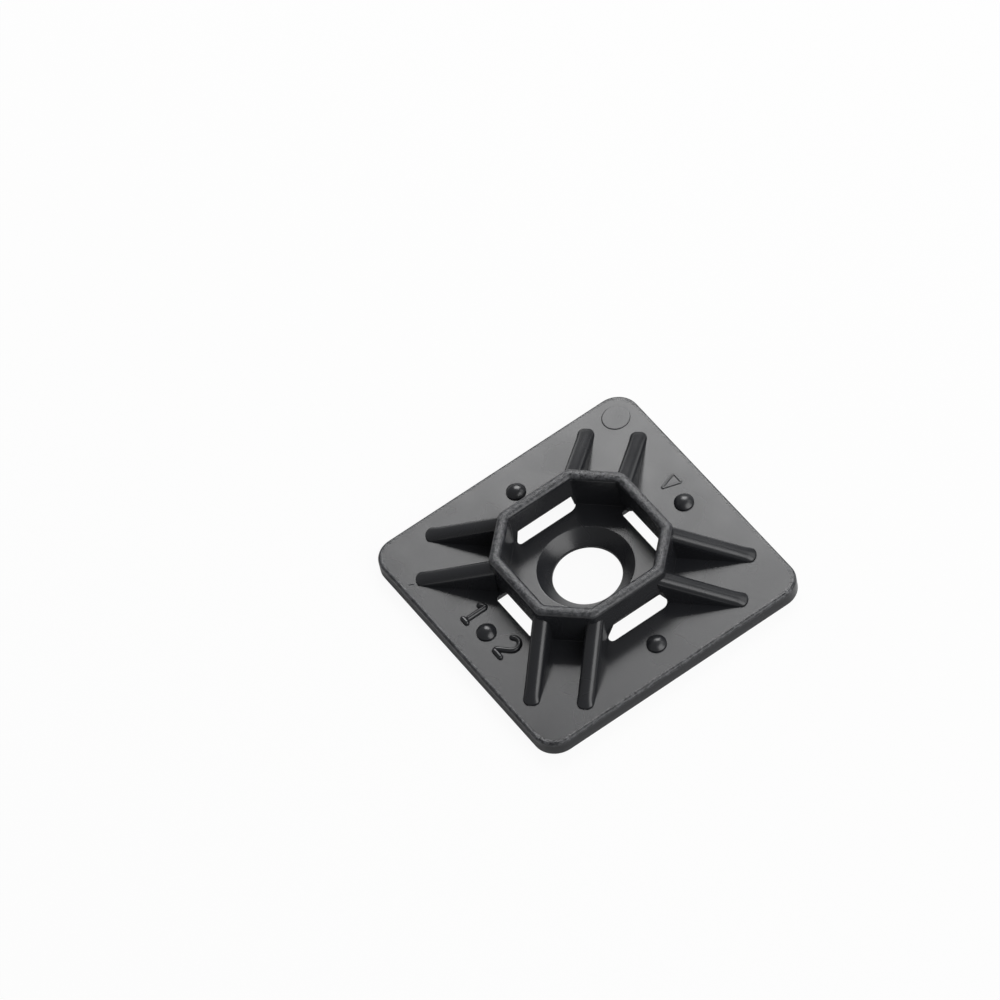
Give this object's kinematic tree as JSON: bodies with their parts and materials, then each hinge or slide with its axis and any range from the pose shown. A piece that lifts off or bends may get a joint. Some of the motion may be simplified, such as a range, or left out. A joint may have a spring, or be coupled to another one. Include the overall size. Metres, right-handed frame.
{
  "type": "cable tie mount",
  "caption": "Flat square cable tie mount with a raised octagonal ring, tie slots under its straight bars and a countersunk screw hole in the middle.",
  "frame": {"origin": "centre of the flat back face, on the axis of the screw hole", "axes": "+Z leaves the wall, through the screw hole; +X and +Y run square to the sides of the base, each through the middle of a side"},
  "size_m": [0.028, 0.028, 0.0055],
  "materials": {
    "moulded_nylon": "satin black injection moulded nylon"
  },
  "bodies": {
    "root": {"tie_mount": "moulded_nylon"}
  },
  "joints": []
}
